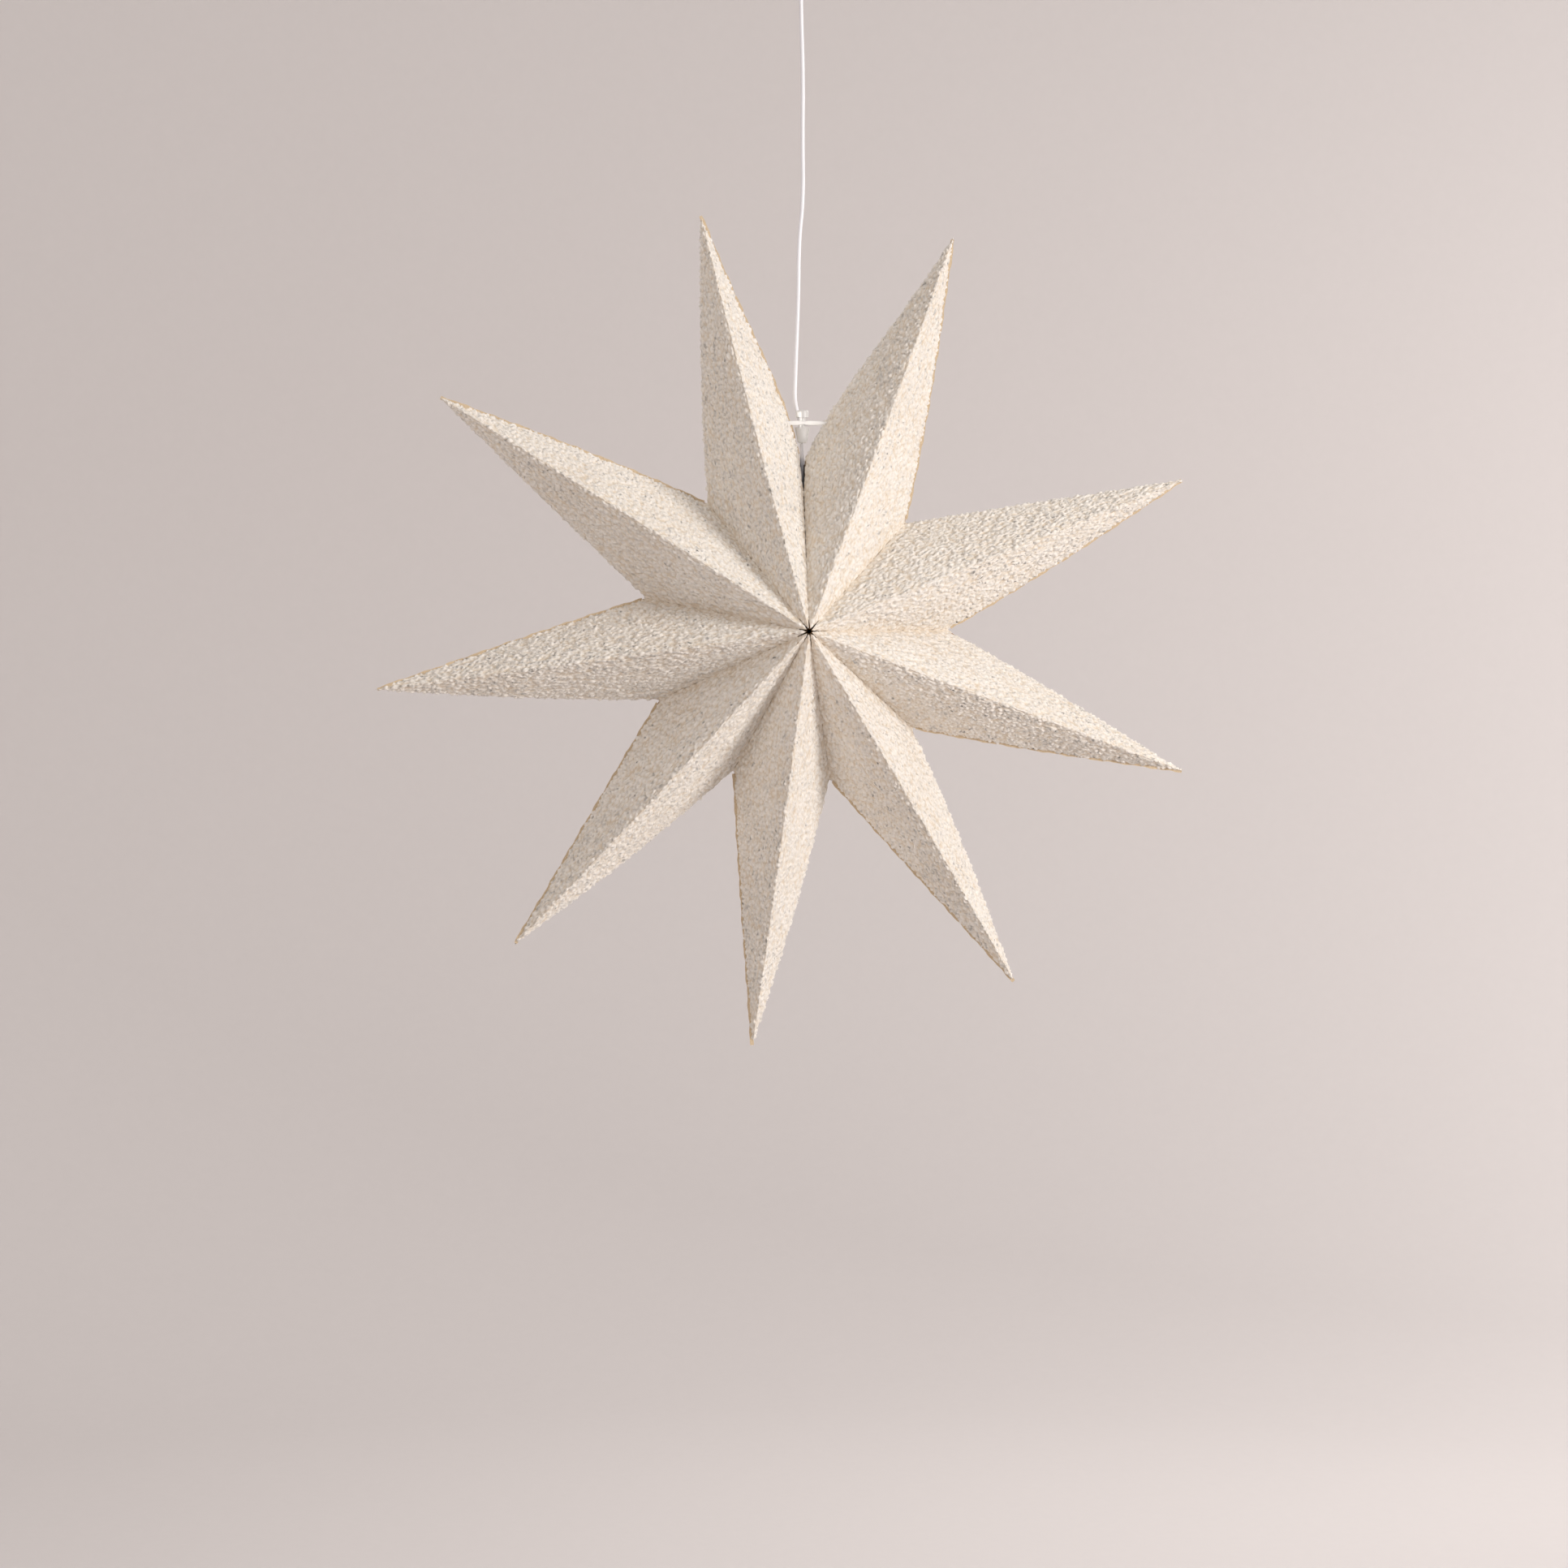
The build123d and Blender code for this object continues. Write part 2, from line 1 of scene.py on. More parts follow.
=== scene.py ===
import bpy
import json
import math
import numpy as np
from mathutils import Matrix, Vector


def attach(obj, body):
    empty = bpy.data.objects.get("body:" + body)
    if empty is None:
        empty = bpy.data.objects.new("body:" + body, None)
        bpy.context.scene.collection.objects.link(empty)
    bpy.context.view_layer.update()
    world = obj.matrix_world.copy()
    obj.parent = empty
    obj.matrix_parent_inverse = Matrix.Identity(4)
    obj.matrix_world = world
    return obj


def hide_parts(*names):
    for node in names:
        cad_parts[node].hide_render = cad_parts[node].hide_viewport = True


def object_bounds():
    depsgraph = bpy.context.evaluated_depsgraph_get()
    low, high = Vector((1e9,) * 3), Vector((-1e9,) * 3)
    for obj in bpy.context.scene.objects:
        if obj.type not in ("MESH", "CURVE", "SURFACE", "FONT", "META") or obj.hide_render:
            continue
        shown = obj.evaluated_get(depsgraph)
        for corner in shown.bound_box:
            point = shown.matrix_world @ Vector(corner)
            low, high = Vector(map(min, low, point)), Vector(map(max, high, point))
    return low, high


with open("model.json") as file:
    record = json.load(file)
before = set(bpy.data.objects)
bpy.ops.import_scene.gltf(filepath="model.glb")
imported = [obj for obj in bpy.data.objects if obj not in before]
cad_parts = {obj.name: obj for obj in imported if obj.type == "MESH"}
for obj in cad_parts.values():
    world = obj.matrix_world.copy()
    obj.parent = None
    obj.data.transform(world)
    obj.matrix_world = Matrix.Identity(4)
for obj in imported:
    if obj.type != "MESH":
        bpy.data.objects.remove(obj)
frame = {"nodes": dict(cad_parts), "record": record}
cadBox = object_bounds()
nodes = frame["nodes"]

# The star's own sizes, in metres, as the frame has them; its angles go clockwise from the top
star = {
    "centre": Vector((-0.0033, 0.0, -0.520)),
    "radius": 0.300,
    "valley": 0.110,
    "openValley": 0.123,
    "halfDepth": 0.088,
    "gap": 0.0044,
    "tipAngles": [-13, 22, 69, 110, 148, 186, 222, 262, 303],
    "valleyAngles": [2.2, 46, 90, 130, 167, 204, 243, 282, 325],
}
pointTotal = len(star["tipAngles"])


def selectOnly(piece):
    bpy.ops.object.select_all(action="DESELECT")
    piece.select_set(True)
    bpy.context.view_layer.objects.active = piece


def applyAll(piece):
    selectOnly(piece)
    for modifier in list(piece.modifiers):
        bpy.ops.object.modifier_apply(modifier=modifier.name)


def settle(piece):
    selectOnly(piece)
    bpy.ops.object.transform_apply(location=True, rotation=True, scale=True)


def dress(piece, material):
    piece.data.materials.clear()
    piece.data.materials.append(material)


camera = {
    "lens": 75.0,     # millimetres, as is the sensor
    "sensor": 36.0,
    "clipEnd": 60.0,
    "distance": 2.336,
    "yaw": 5.9,       # degrees to the right
    "pitch": -3.4,    # degrees, looking slightly down
    "right": 0.0083,  # where the star's centre stands from the middle of the view
    "up": 0.1103,
}


def placeCamera():
    yaw = math.radians(camera["yaw"])
    pitch = math.radians(camera["pitch"])
    level = math.cos(pitch)
    forward = Vector((math.sin(yaw) * level, math.cos(yaw) * level, math.sin(pitch)))
    right = forward.cross(Vector((0, 0, 1))).normalized()
    up = right.cross(forward)
    aim = star["centre"] - right * camera["right"] - up * camera["up"]
    bpy.ops.object.camera_add(location=aim - forward * camera["distance"])
    view = bpy.context.object
    view.rotation_mode = "QUATERNION"
    view.rotation_quaternion = forward.to_track_quat("-Z", "Y")
    view.data.lens = camera["lens"]
    view.data.sensor_width = camera["sensor"]
    view.data.clip_end = camera["clipEnd"]
    bpy.context.scene.camera = view


placeCamera()
print("camera placed")


def newMaterial(name, roughness=0.5, **sockets):
    material = bpy.data.materials.new(name)
    material.use_nodes = True
    shader = material.node_tree.nodes["Principled BSDF"]
    shader.inputs["Roughness"].default_value = roughness
    for socket, value in sockets.items():
        shader.inputs[socket.replace("_", " ")].default_value = value
    return material, material.node_tree, shader


def noiseOn(tree, scale, detail=3.0, rough=0.55):
    noise = tree.nodes.new("ShaderNodeTexNoise")
    noise.inputs["Scale"].default_value = scale
    noise.inputs["Detail"].default_value = detail
    noise.inputs["Roughness"].default_value = rough
    place = tree.nodes.new("ShaderNodeTexCoord")
    tree.links.new(place.outputs["Object"], noise.inputs["Vector"])
    return noise.outputs["Fac"]


def ramp(tree, source, stops):
    node = tree.nodes.new("ShaderNodeValToRGB")
    node.color_ramp.elements[0].position = stops[0][0]
    node.color_ramp.elements[0].color = (*stops[0][1], 1)
    node.color_ramp.elements[1].position = stops[-1][0]
    node.color_ramp.elements[1].color = (*stops[-1][1], 1)
    for position, colour in stops[1:-1]:
        node.color_ramp.elements.new(position).color = (*colour, 1)
    tree.links.new(source, node.inputs["Fac"])
    return node.outputs["Color"]


def bumpFrom(tree, target, height, strength, distance):
    # the target is the shader, or another bump that this one lies under
    bump = tree.nodes.new("ShaderNodeBump")
    bump.inputs["Strength"].default_value = strength
    bump.inputs["Distance"].default_value = distance
    tree.links.new(height, bump.inputs["Height"])
    tree.links.new(bump.outputs["Normal"], target.inputs["Normal"])
    return bump


def multiplyColours(tree, first, second):
    mix = tree.nodes.new("ShaderNodeMix")
    mix.data_type = "RGBA"
    mix.blend_type = "MULTIPLY"
    mix.inputs[0].default_value = 1.0
    tree.links.new(first, mix.inputs[6])
    tree.links.new(second, mix.inputs[7])
    return mix.outputs[2]


cloth = {
    # the loops' tops carry the cloth's own ivory; the two colours after it are painted shade,
    # darker and tanner down the loops' sides and in the crevices between them
    "loopTop": (0.95, 0.905, 0.85),
    "loopSideShade": (0.92, 0.855, 0.77),
    "creviceShade": (0.76, 0.65, 0.52),
    "fibreScale": 2600,
    "fibreDepth": 0.00035,
    "fibreStrength": 0.7,
    "knotScale": 330,
    "knotDepth": 0.0012,
    "knotStrength": 0.8,
    "fleck": (0.94, 0.92, 0.89),
    "fleckScale": 900,
    "patch": (0.97, 0.96, 0.95),
    "patchScale": 22,
    "sheen": 0.35,
}
white = (1.0, 1.0, 1.0)


def knotsOn(tree, scale):
    # rounded knots, high in the middle of each
    knots = tree.nodes.new("ShaderNodeTexVoronoi")
    knots.feature = "SMOOTH_F1"
    knots.inputs["Scale"].default_value = scale
    knots.inputs["Smoothness"].default_value = 0.35
    place = tree.nodes.new("ShaderNodeTexCoord")
    tree.links.new(place.outputs["Object"], knots.inputs["Vector"])
    flip = tree.nodes.new("ShaderNodeMath")
    flip.operation = "SUBTRACT"
    flip.inputs[0].default_value = 1.0
    tree.links.new(knots.outputs["Distance"], flip.inputs[1])
    return flip.outputs[0]


def clothMaterial():
    material, tree, shader = newMaterial("loopedCloth", 0.92, Sheen_Weight=cloth["sheen"],
                                         Sheen_Roughness=0.5, Specular_IOR_Level=0.15)
    height = tree.nodes.new("ShaderNodeAttribute")
    height.attribute_name = "loopHeight"
    # the colour follows each loop's height: the cloth's own ivory on top, painted shade down the
    # sides and painted shade in the crevices
    yarnAndPaintedShade = ramp(tree, height.outputs["Fac"],
                [(0.03, cloth["creviceShade"]), (0.24, cloth["loopSideShade"]), (0.50, cloth["loopTop"])])
    fleck = ramp(tree, noiseOn(tree, cloth["fleckScale"], detail=4),
                 [(0.30, cloth["fleck"]), (0.60, white)])
    patch = ramp(tree, noiseOn(tree, cloth["patchScale"], detail=2),
                 [(0.35, cloth["patch"]), (0.65, white)])
    colour = multiplyColours(tree, multiplyColours(tree, yarnAndPaintedShade, fleck), patch)
    tree.links.new(colour, shader.inputs["Base Color"])
    fibres = bumpFrom(tree, shader, noiseOn(tree, cloth["fibreScale"], detail=5, rough=0.7),
                      cloth["fibreStrength"], cloth["fibreDepth"])
    bumpFrom(tree, fibres, knotsOn(tree, cloth["knotScale"]),
             cloth["knotStrength"], cloth["knotDepth"])
    return material


def cardMaterial(name, dark, light):
    material, tree, shader = newMaterial(name, 0.85, Specular_IOR_Level=0.2)
    grain = noiseOn(tree, 1400, detail=5, rough=0.7)
    tree.links.new(ramp(tree, grain, [(0.3, dark), (0.7, light)]), shader.inputs["Base Color"])
    bumpFrom(tree, shader, grain, strength=0.4, distance=0.0002)
    return material


def mouldedMaterial(name, colour, roughness, mottle=0.03, grainScale=700, grainDepth=0.00004):
    material, tree, shader = newMaterial(name, roughness)
    low = tuple(c * (1 - mottle) for c in colour)
    tree.links.new(ramp(tree, noiseOn(tree, 60), [(0.35, low), (0.65, colour)]),
                   shader.inputs["Base Color"])
    bumpFrom(tree, shader, noiseOn(tree, grainScale), strength=0.3, distance=grainDepth)
    return material


def metalMaterial(name, colour, roughness, wear=0.12):
    material, tree, shader = newMaterial(name, roughness, Metallic=1.0)
    low = tuple(c * (1 - wear) for c in colour)
    tree.links.new(ramp(tree, noiseOn(tree, 300, detail=4), [(0.3, low), (0.7, colour)]),
                   shader.inputs["Base Color"])
    bumpFrom(tree, shader, noiseOn(tree, 1500), strength=0.25, distance=0.00003)
    return material


def clearMaterial(name, colour, roughness, ior, haze, clearness=1.0):
    material, tree, shader = newMaterial(name, roughness, Transmission_Weight=clearness, IOR=ior)
    low = tuple(c * (1 - haze) for c in colour)
    tree.links.new(ramp(tree, noiseOn(tree, 90, detail=2), [(0.3, low), (0.7, colour)]),
                   shader.inputs["Base Color"])
    bumpFrom(tree, shader, noiseOn(tree, 220, detail=2), strength=0.15, distance=0.0001)
    return material


finishes = {
    "cloth": clothMaterial(),
    "card": cardMaterial("kraftCard", (0.24, 0.13, 0.06), (0.42, 0.26, 0.13)),
    "seam": cardMaterial("cutCardEdge", (0.50, 0.37, 0.23), (0.76, 0.63, 0.46)),
    "lead": mouldedMaterial("leadSheath", (0.87, 0.87, 0.91), 0.38),
    "tie": mouldedMaterial("tieElastic", (0.96, 0.955, 0.94), 0.7, 0.04, 2500, 0.0002),
    "clear": clearMaterial("clearClip", (0.93, 0.925, 0.91), 0.34, 1.42, 0.03, 0.5),
    "nylon": mouldedMaterial("whiteNylon", (0.82, 0.82, 0.80), 0.45),
    "plastic": mouldedMaterial("whitePlastic", (0.86, 0.86, 0.85), 0.3),
    "holder": mouldedMaterial("holderPlastic", (0.84, 0.84, 0.82), 0.32),
    "porcelain": mouldedMaterial("porcelain", (0.86, 0.84, 0.79), 0.15, 0.04),
    "steel": metalMaterial("zincSteel", (0.66, 0.67, 0.69), 0.35),
    "brass": metalMaterial("brass", (0.78, 0.58, 0.27), 0.28),
    "nickel": metalMaterial("nickelCap", (0.74, 0.71, 0.66), 0.22),
    "solder": metalMaterial("solder", (0.62, 0.62, 0.62), 0.45),
    "blackGlass": mouldedMaterial("blackGlass", (0.03, 0.03, 0.035), 0.12),
    "glass": clearMaterial("bulbGlass", (0.98, 0.98, 0.98), 0.02, 1.12, 0.01),
    "filament": mouldedMaterial("filament", (0.92, 0.66, 0.22), 0.5, 0.1),
}
slotFinish = {
    "white_nylon": "nylon", "steel": "steel", "white_plastic": "plastic", "zinc_steel": "steel",
    "brass": "brass", "holder_plastic": "holder", "porcelain": "porcelain", "solder": "solder",
    "black_glass": "blackGlass", "nickel": "nickel", "bulb_glass": "glass", "stem_glass": "glass",
    "filament": "filament", "clear_plastic": "clear",
}
for entry in frame["record"]["subparts"]:
    finish = slotFinish.get(entry["material_slot"])
    if finish:
        for holder in nodes[entry["node"]].material_slots:
            holder.link = "OBJECT"
            holder.material = finishes[finish]
print("materials made")

# The route: x from the star's centre, y, and height above the star's centre, in millimetres
leadRoute = [
    (3.4, 0.0, 445), (5.2, -0.3, 392), (4.8, 0.2, 348), (5.4, 0.0, 306), (2.2, 0.2, 276),
    (1.9, 0.0, 238), (0.5, 0.1, 202), (-0.4, 0.0, 177), (-0.7, 0.4, 163), (1.8, 4.0, 154),
    (4.2, 5.8, 146), (4.9, 5.3, 136), (4.7, 2.0, 124), (4.7, 0.3, 110), (4.7, 0.0, 95),
]
lead = {"diameter": 0.0028, "length": 0.415, "top": Vector((0, 0, -0.033)), "end": (4.72, 0.0, 74)}


def makeLead():
    route = [lead["top"]] + [star["centre"] + Vector(p) / 1000 for p in leadRoute + [lead["end"]]]
    curve = bpy.data.curves.new("lead", "CURVE")
    curve.dimensions = "3D"
    line = curve.splines.new("NURBS")
    line.points.add(len(route) - 1)
    for point, place in zip(line.points, route):
        point.co = (*place, 1)
    line.order_u = 3
    line.use_endpoint_u = True
    curve.resolution_u = 12
    curve.bevel_depth = lead["diameter"] / 2
    curve.bevel_resolution = 5
    curve.use_fill_caps = True
    piece = bpy.data.objects.new("hanging_lead", curve)
    bpy.context.collection.objects.link(piece)
    curve.materials.append(finishes["lead"])
    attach(piece, "pendant")
    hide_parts("power_cord")


makeLead()
print("lead made")

skin = {
    "cuts": (7, 11),       # the subdivisions of a panel's edge, one after the other
    "sink": 0.0008,        # loops stand on a ground this far under the frame's face
    "loopSize": (0.0036, 0.0028, 0.0036),
    "curlSize": (0.0019, 0.0019, 0.0019),
    "loopHeight": 0.0021,
    "edgeBulge": 0.0016,
    "pillow": 0.0022,
    "tipReach": 0.0035,    # the cloth folded over each tip
    "centreHole": 0.0016,
    "rimRecess": 0.0004,   # the cloth stops this short of the glued valley
    "rimWidth": 0.02,      # how soon after the valley the recess ends, the ground is
    "sinkWidth": 0.03,     # at its depth and the loops are at their height, as shares
    "loopsWidth": 0.05,    # of the way to the tip
    "valleyLoops": 0.35,   # share of the loops' height left in a valley
    "tipFrom": 0.8,        # share of the way to the tip where the reach begins
    "holeFrom": 0.9,       # share of the way to the centre where the hole begins
    "pillowOut": 0.75,
    "pillowForward": 0.65,
    "foldSmoothing": 16,
    "leanShare": 0.85,     # of half the opening, then where it begins and how soon it is full
    "leanFrom": 0.06,
    "leanWidth": 0.14,
    "openBulge": 0.0035,   # the free edges' extra bulge beside the clip
}
pile = {
    "wander": 0.0006,      # how far the loops stray from their cells
    "waves": (900, 700, 1100, 800),
    "loopSteepness": 1.9,
    "loopPower": 0.7,
    "loopCrown": 1.15,
    "loopSeed": 11,
    "curlSteepness": 1.6,
    "curlSeed": 37,
    "curlShift": 0.011,
    "curlShare": 0.26,     # of a loop's height
}
card = {
    "shrink": 0.975,
    "cuts": (11,),
    "under": 0.0012,       # how far the card lies under the frame's face
    "valleyUnder": 0.25,   # share of that left in a valley
    "underWidth": 0.04,
    "wall": 0.0006,
}
seam = {
    "cuts": (90, 3),
    "start": 0.012,        # from the valley's end, as a share of the outer edge, as is the span
    "span": 0.972,
    "reach": 0.0007,
    "depth": 0.0018,
    "wall": 0.0009,
    "ragged": ((0.0003, 61), (0.0002, 143)),
    "drift": (0.0004, 37),
}
# turns a cell's three whole numbers into one, then that into a place in the cell
hashPrimes = (73856093, 19349663, 83492791)
hashTurns = (0.0129898, 0.0078233, 0.0037719)
hashSpread = 43758.5453
farAway = 9.0
# scales that bring each of these products of shares to about 1 at its highest
peak = {"edge": 4, "panel": 27, "opening": 9.5}


def compass(radius, angle):
    turn = math.radians(angle)
    return Vector((radius * math.sin(turn), 0, radius * math.cos(turn)))


def corners(number):
    tip = compass(star["radius"], star["tipAngles"][number - 1])
    leftAngle = star["valleyAngles"][number - 2]
    rightAngle = star["valleyAngles"][number - 1]
    leftRadius = rightRadius = star["valley"]
    halfGap = math.degrees(star["gap"] / 2 / star["openValley"])
    if number == 1:
        rightAngle -= halfGap
        rightRadius = star["openValley"]
    if number == 2:
        leftAngle += halfGap
        leftRadius = star["openValley"]
    return tip, compass(leftRadius, leftAngle), compass(rightRadius, rightAngle)


def fourPanels(name, tip, left, right, cuts):
    bpy.ops.object.select_all(action="DESELECT")
    bpy.ops.mesh.primitive_cone_add(vertices=4, radius1=0.1, radius2=0, depth=0.2,
                                    end_fill_type="NOTHING")
    piece = bpy.context.object
    piece.name = name
    depth = Vector((0, star["halfDepth"], 0))
    for vertex in piece.data.vertices:   # the cone's rim becomes valley, front, valley, back
        if vertex.co.z > 0:
            vertex.co = tip
        elif abs(vertex.co.x) > abs(vertex.co.y):
            vertex.co = right if vertex.co.x > 0 else left
        else:
            vertex.co = depth if vertex.co.y > 0 else -depth
    bpy.ops.object.mode_set(mode="EDIT")
    bpy.ops.mesh.select_all(action="DESELECT")
    bpy.ops.object.mode_set(mode="OBJECT")
    apex = max(piece.data.vertices, key=lambda v: v.co.dot(tip)).index
    # halves the edges at the tip first, for evener faces; the first piece made is still in
    # vertex mode here, so all its edges are halved and its faces come out finer
    for edge in piece.data.edges:
        edge.select = apex in edge.vertices
    bpy.ops.object.mode_set(mode="EDIT")
    bpy.ops.mesh.select_mode(type="EDGE")
    bpy.ops.mesh.subdivide(number_cuts=1)
    bpy.ops.mesh.select_all(action="SELECT")
    for count in cuts:
        bpy.ops.mesh.subdivide(number_cuts=count)
    bpy.ops.mesh.normals_make_consistent(inside=False)
    bpy.ops.object.mode_set(mode="OBJECT")
    return piece


def readPoints(piece):
    points = np.empty(len(piece.data.vertices) * 3)
    piece.data.vertices.foreach_get("co", points)
    return points.reshape(-1, 3)


def writePoints(piece, points):
    piece.data.vertices.foreach_set("co", points.ravel())
    piece.data.update()


def readNormals(piece):
    normals = np.empty(len(piece.data.vertices) * 3)
    piece.data.vertex_normals.foreach_get("vector", normals)
    return normals.reshape(-1, 3)


def shares(points, tip, left, right):
    # each point's shares of its panel's tip, valley end and centre, and whether it is on the right
    flat = points[:, [0, 2]].T
    onLeft, onRight = (np.linalg.solve(np.array([[tip.x, valley.x], [tip.z, valley.z]]), flat).T
                       for valley in (left, right))
    isRight = onRight[:, 1] >= onLeft[:, 1]
    best = np.clip(np.where(isRight[:, None], onRight, onLeft), 0, 1)
    return best[:, 0], best[:, 1], np.abs(points[:, 1]) / star["halfDepth"], isRight


def outwardOf(tip, valley):
    edge = (tip - valley).normalized()
    outward = Vector((edge.z, 0, -edge.x))
    return np.array(outward if outward.dot(valley) > 0 else -outward)


def shapePanels(points, number, tip, left, right):
    # bulges the outer edges, pillows the panels and bows the whole point a little;
    # a, b and c are the shares of the tip, the valley's end and the centre
    a, b, c, isRight = shares(points, tip, left, right)
    outward = np.where(isRight[:, None], outwardOf(tip, right), outwardOf(tip, left))
    edge = skin["edgeBulge"] * peak["edge"] * a * b * (1 - c) ** 2
    awayFromMiddle = np.sign(points[:, 1])
    pillow = skin["pillow"] * peak["panel"] * a * b * c
    moved = points + outward * (edge + skin["pillowOut"] * pillow)[:, None]
    moved[:, 1] += awayFromMiddle * skin["pillowForward"] * pillow
    side = np.array((tip.z, 0, -tip.x)) / tip.length
    swell = peak["edge"] * a * (1 - a)
    moved += side * (bows[number - 1][0] * swell)[:, None]
    moved[:, 1] += bows[number - 1][1] * swell
    if number <= 2:          # the two free edges lean together in front of and behind the lead
        atOpening = isRight if number == 1 else ~isRight
        past = np.clip((c - skin["leanFrom"]) / skin["leanWidth"], 0, 1)
        lean = star["gap"] / 2 * skin["leanShare"] * b * past * atOpening
        moved[:, 0] += lean if number == 1 else -lean
        arch = skin["openBulge"] * peak["opening"] * a * b ** 3 * (1 - c) ** 2 * atOpening
        moved += outward * arch[:, None]
    along = np.array(tip) / tip.length
    hole = skin["centreHole"] * np.clip((c - skin["holeFrom"]) / (1 - skin["holeFrom"]), 0, 1)
    reach = skin["tipReach"] * np.clip((a - skin["tipFrom"]) / (1 - skin["tipFrom"]), 0, 1)
    moved += along * (hole + reach)[:, None]
    return moved, a


def cells(points, size, seed):
    # nearest and second nearest scattered centres, in cells of the given size
    scaled = points / np.array(size)
    home = np.floor(scaled).astype(np.int64)
    nearest = np.full(len(points), farAway)
    second = np.full(len(points), farAway)
    for dx in (-1, 0, 1):
        for dy in (-1, 0, 1):
            for dz in (-1, 0, 1):
                cell = home + np.array((dx, dy, dz))
                mixed = cell * np.array(hashPrimes)
                key = (mixed[:, 0] ^ mixed[:, 1] ^ mixed[:, 2]) + seed
                jitter = np.stack([np.modf(np.abs(np.sin(key * turn) * hashSpread))[0]
                                   for turn in hashTurns], 1)
                away = np.linalg.norm(cell + jitter - scaled, axis=1)
                second = np.minimum(second, np.maximum(nearest, away))
                nearest = np.minimum(nearest, away)
    return nearest, second


def loops(points):
    # height of the looped pile, from 0 in the ground to about 1 on a loop
    x, y, z = points.T
    first, second, third, fourth = pile["waves"]
    wander = np.stack([np.sin(z * first + x * second), np.sin(x * third + 2),
                       np.sin(x * fourth + y * first)], 1)
    warped = points + pile["wander"] * wander
    near, after = cells(warped, skin["loopSize"], pile["loopSeed"])
    side = np.clip((after - near) * pile["loopSteepness"], 0, 1) ** pile["loopPower"]
    loop = side * np.clip(pile["loopCrown"] - near ** 2, 0, 1)
    nearCurl, afterCurl = cells(warped + pile["curlShift"], skin["curlSize"], pile["curlSeed"])
    curl = np.sqrt(np.clip((afterCurl - nearCurl) * pile["curlSteepness"], 0, 1))
    return np.clip(loop * (1 - pile["curlShare"] + pile["curlShare"] * curl), 0, 1)


# how far each point bows sideways and forward or back
bows = [(-0.001, 0.0), (0.0012, 0.001), (0.001, 0.001), (0.0, -0.001), (-0.0012, 0.0),
        (-0.001, 0.001), (-0.0012, 0.0), (-0.0006, -0.001), (0.0008, 0.0)]
starCentre = np.array(star["centre"])


def smoothFolds(piece, free, rounds):
    group = piece.vertex_groups.new(name="free")
    for index in np.nonzero(free)[0]:
        group.add([int(index)], 1.0, "REPLACE")
    modifier = piece.modifiers.new("foldRounding", "SMOOTH")
    modifier.factor = 0.5
    modifier.iterations = rounds
    modifier.vertex_group = "free"
    applyAll(piece)
    piece.vertex_groups.clear()


def makeCloth(number):
    tip, left, right = corners(number)
    piece = fourPanels(f"star_point_{number}_cloth", tip, left, right, skin["cuts"])
    points, a = shapePanels(readPoints(piece), number, tip, left, right)
    recess = np.array(tip / tip.length) * skin["rimRecess"]
    rim = np.clip(1 - a / skin["rimWidth"], 0, 1)
    points += recess * rim[:, None]
    writePoints(piece, points)
    smoothFolds(piece, a > 1e-4, skin["foldSmoothing"])
    points = readPoints(piece) + starCentre
    height = loops(points)
    inValley = skin["valleyLoops"]
    height *= inValley + (1 - inValley) * np.clip(a / skin["loopsWidth"], 0, 1)
    lift = skin["loopHeight"] * height - skin["sink"] * np.clip(a / skin["sinkWidth"], 0, 1)
    writePoints(piece, points + readNormals(piece) * lift[:, None])
    store = piece.data.attributes.new("loopHeight", "FLOAT", "POINT")
    store.data.foreach_set("value", height)
    selectOnly(piece)
    bpy.ops.object.shade_smooth()
    dress(piece, finishes["cloth"])
    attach(piece, "star")
    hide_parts(f"star_point_{number}")


def makeCard(number):
    tip, left, right = corners(number)
    tip = tip * card["shrink"]
    piece = fourPanels(f"star_point_{number}_card", tip, left, right, card["cuts"])
    points, a = shapePanels(readPoints(piece), number, tip, left, right)
    writePoints(piece, points)
    depthShare = np.clip(a / card["underWidth"], 0, 1)
    under = card["under"] * (card["valleyUnder"] + (1 - card["valleyUnder"]) * depthShare)
    writePoints(piece, points + starCentre - readNormals(piece) * under[:, None])
    wall = piece.modifiers.new("wall", "SOLIDIFY")
    wall.thickness = card["wall"]
    wall.offset = -1
    applyAll(piece)
    dress(piece, finishes["card"])
    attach(piece, "star")


def makeSeam(number):
    # the cut edges of a point's sheet, glued along its clockwise outer edge
    tip, left, right = corners(number)
    bpy.ops.object.select_all(action="DESELECT")
    along, across = seam["cuts"]
    bpy.ops.mesh.primitive_grid_add(x_subdivisions=along, y_subdivisions=across, size=1)
    piece = bpy.context.object
    piece.name = f"star_point_{number}_seam"
    grid = readPoints(piece)
    t = seam["start"] + seam["span"] * (grid[:, 0] + 0.5)
    out = grid[:, 1] + 0.5
    line = np.array(right) + t[:, None] * np.array(tip - right)
    line = shapePanels(line, number, tip, left, right)[0]
    ragged = sum(size * np.sin(t * waves + turn * number)
                 for turn, (size, waves) in enumerate(seam["ragged"], 1))
    reach = -seam["depth"] + out * (seam["depth"] + seam["reach"] + ragged)
    line += outwardOf(tip, right) * reach[:, None]
    size, waves = seam["drift"]
    line[:, 1] += size * np.sin(t * waves + number)
    writePoints(piece, line + starCentre)
    wall = piece.modifiers.new("wall", "SOLIDIFY")
    wall.thickness = seam["wall"]
    wall.offset = 0
    applyAll(piece)
    dress(piece, finishes["seam"])
    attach(piece, "star")


for number in range(1, pointTotal + 1):
    makeCloth(number)
    makeCard(number)
    makeSeam(number)
print("star points made")

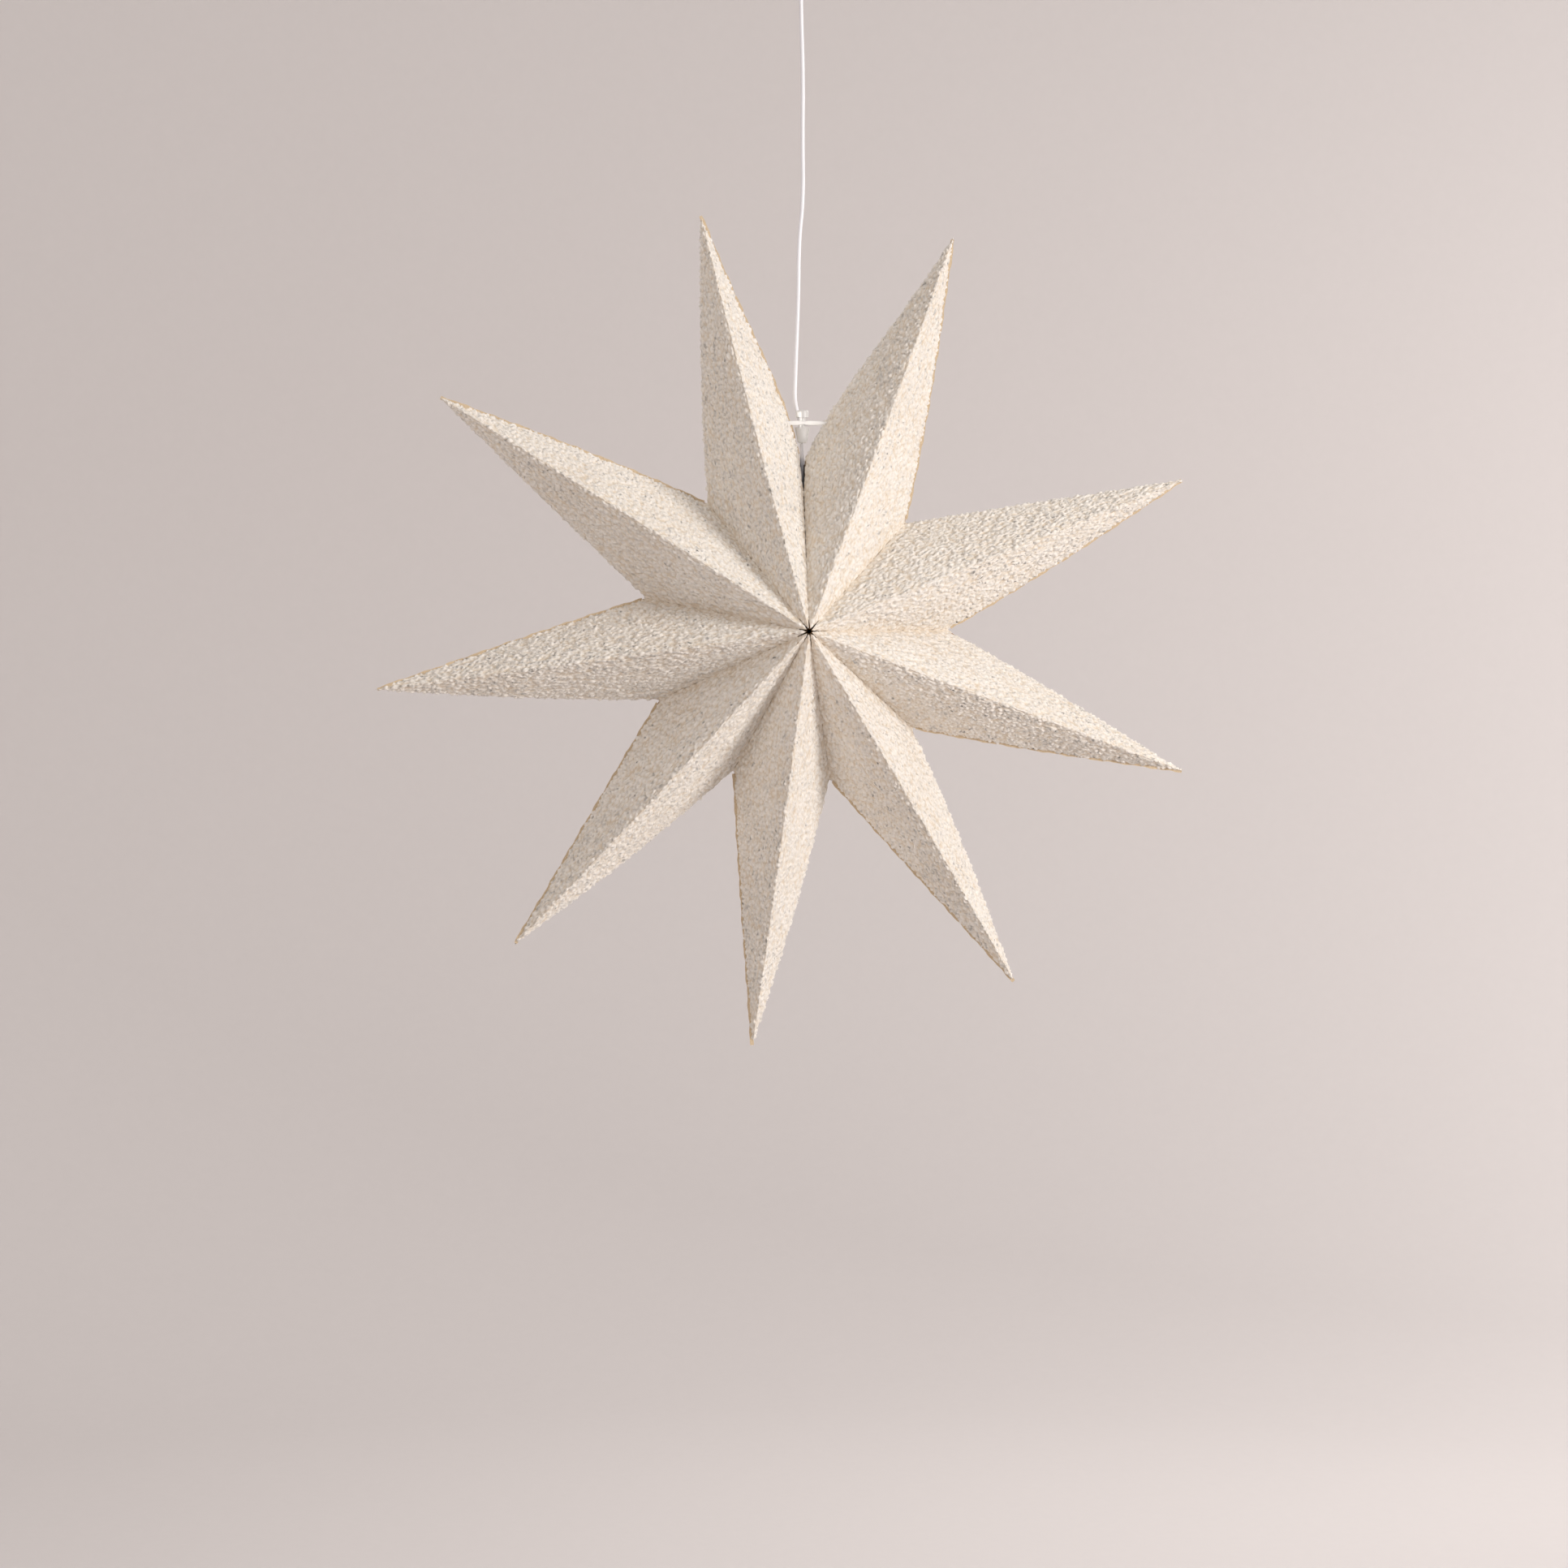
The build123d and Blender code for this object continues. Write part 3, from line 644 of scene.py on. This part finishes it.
tie = {
    "at": Vector((0.0042, 0, -0.373)),
    "halfLength": 0.0161,
    "halfWidth": 0.0033,
    "thick": 0.0008,
    "tall": 2.0,
    "knot": -0.0025,       # where the band is pinched, from its middle
    "pinch": 0.55,
    "pinchWidth": 0.004,
    "pinchPower": 0.7,
    "taper": 0.35,
}


def makeTie():
    bpy.ops.object.select_all(action="DESELECT")
    bpy.ops.mesh.primitive_torus_add(location=tie["at"], major_radius=tie["halfLength"],
                                     minor_radius=tie["thick"], major_segments=96,
                                     minor_segments=12)
    band = bpy.context.object
    band.name = "closing_tie_band"
    band.scale = (1, tie["halfWidth"] / tie["halfLength"], tie["tall"])
    settle(band)
    points = readPoints(band)
    fromKnot = np.abs(points[:, 0] - tie["at"].x - tie["knot"])
    opening = np.clip(fromKnot / tie["pinchWidth"], 0, 1) ** tie["pinchPower"]
    pinch = tie["pinch"] + (1 - tie["pinch"]) * opening
    taper = 1 - tie["taper"] * np.clip(fromKnot / tie["halfLength"], 0, 1) ** 2
    points[:, 2] = tie["at"].z + (points[:, 2] - tie["at"].z) * pinch * taper
    writePoints(band, points)
    bpy.ops.object.shade_smooth()
    dress(band, finishes["tie"])
    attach(band, "star")
    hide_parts("closing_tie")


makeTie()
print("tie made")

room = {
    "radius": 4.5,
    "height": 5.0,
    "floorBelow": 1.0,
    "sweep": 1.6,
    "colour": (0.67, 0.632, 0.622),
    "sky": (0.92, 0.90, 0.88),
    "skyStrength": 0.84,
}
lights = [
    {"name": "keyLight", "place": (2.3, -1.9, 0.0), "aim": star["centre"],
     "size": 0.9, "power": 60, "colour": (1.0, 0.975, 0.95)},
    {"name": "fillLight", "place": (-1.8, -2.6, -0.2), "aim": star["centre"],
     "size": 2.0, "power": 14, "colour": (1.0, 0.96, 0.90)},
    {"name": "backLight", "place": (1.2, 2.4, 0.4), "aim": star["centre"],
     "size": 1.6, "power": 26, "colour": (1.0, 0.98, 0.96)},
    {"name": "wallLight", "place": (2.6, 1.6, -0.3), "aim": Vector((2.0, 4.4, -0.2)),
     "size": 1.4, "power": 36, "colour": (1.0, 0.98, 0.97)},
]


def makeStage():
    bpy.ops.object.select_all(action="DESELECT")
    bottom = cadBox[0][2] - room["floorBelow"]
    bpy.ops.mesh.primitive_cylinder_add(vertices=128, radius=room["radius"], depth=room["height"],
                                        location=(0, 0, bottom + room["height"] / 2))
    floor = bpy.context.object
    floor.name = "floor"
    settle(floor)
    bpy.ops.object.mode_set(mode="EDIT")
    bpy.ops.mesh.select_all(action="DESELECT")
    bpy.ops.object.mode_set(mode="OBJECT")
    for face in floor.data.polygons:
        face.select = face.normal.z > 0.5   # the cylinder's lid, taken off
    bpy.ops.object.mode_set(mode="EDIT")
    bpy.ops.mesh.select_mode(type="FACE")
    bpy.ops.mesh.delete(type="FACE")
    bpy.ops.mesh.select_mode(type="EDGE")
    bpy.ops.object.mode_set(mode="OBJECT")
    for edge in floor.data.edges:
        ends = [floor.data.vertices[i].co.z for i in edge.vertices]
        edge.select = max(ends) < bottom + 0.01
    bpy.ops.object.mode_set(mode="EDIT")
    bpy.ops.mesh.bevel(offset=room["sweep"], segments=16)
    bpy.ops.mesh.select_all(action="SELECT")
    bpy.ops.mesh.normals_make_consistent(inside=True)
    bpy.ops.object.mode_set(mode="OBJECT")
    bpy.ops.object.shade_smooth()
    dress(floor, mouldedMaterial("paleFloor", room["colour"], 0.9, 0.01))


def addLight(light):
    bpy.ops.object.light_add(type="AREA", location=light["place"])
    lamp = bpy.context.object
    lamp.name = light["name"]
    lamp.data.size = light["size"]
    lamp.data.energy = light["power"]
    lamp.data.color = light["colour"]
    lamp.rotation_mode = "QUATERNION"
    lamp.rotation_quaternion = (light["aim"] - Vector(light["place"])).to_track_quat("-Z", "Y")


def setSky():
    scene = bpy.context.scene
    scene.world = scene.world or bpy.data.worlds.new("room")
    scene.world.use_nodes = True
    sky = scene.world.node_tree.nodes["Background"]
    sky.inputs["Color"].default_value = (*room["sky"], 1)
    sky.inputs["Strength"].default_value = room["skyStrength"]
    scene.view_settings.view_transform = "Standard"


makeStage()
for light in lights:
    addLight(light)
setSky()
print("stage and lights made")
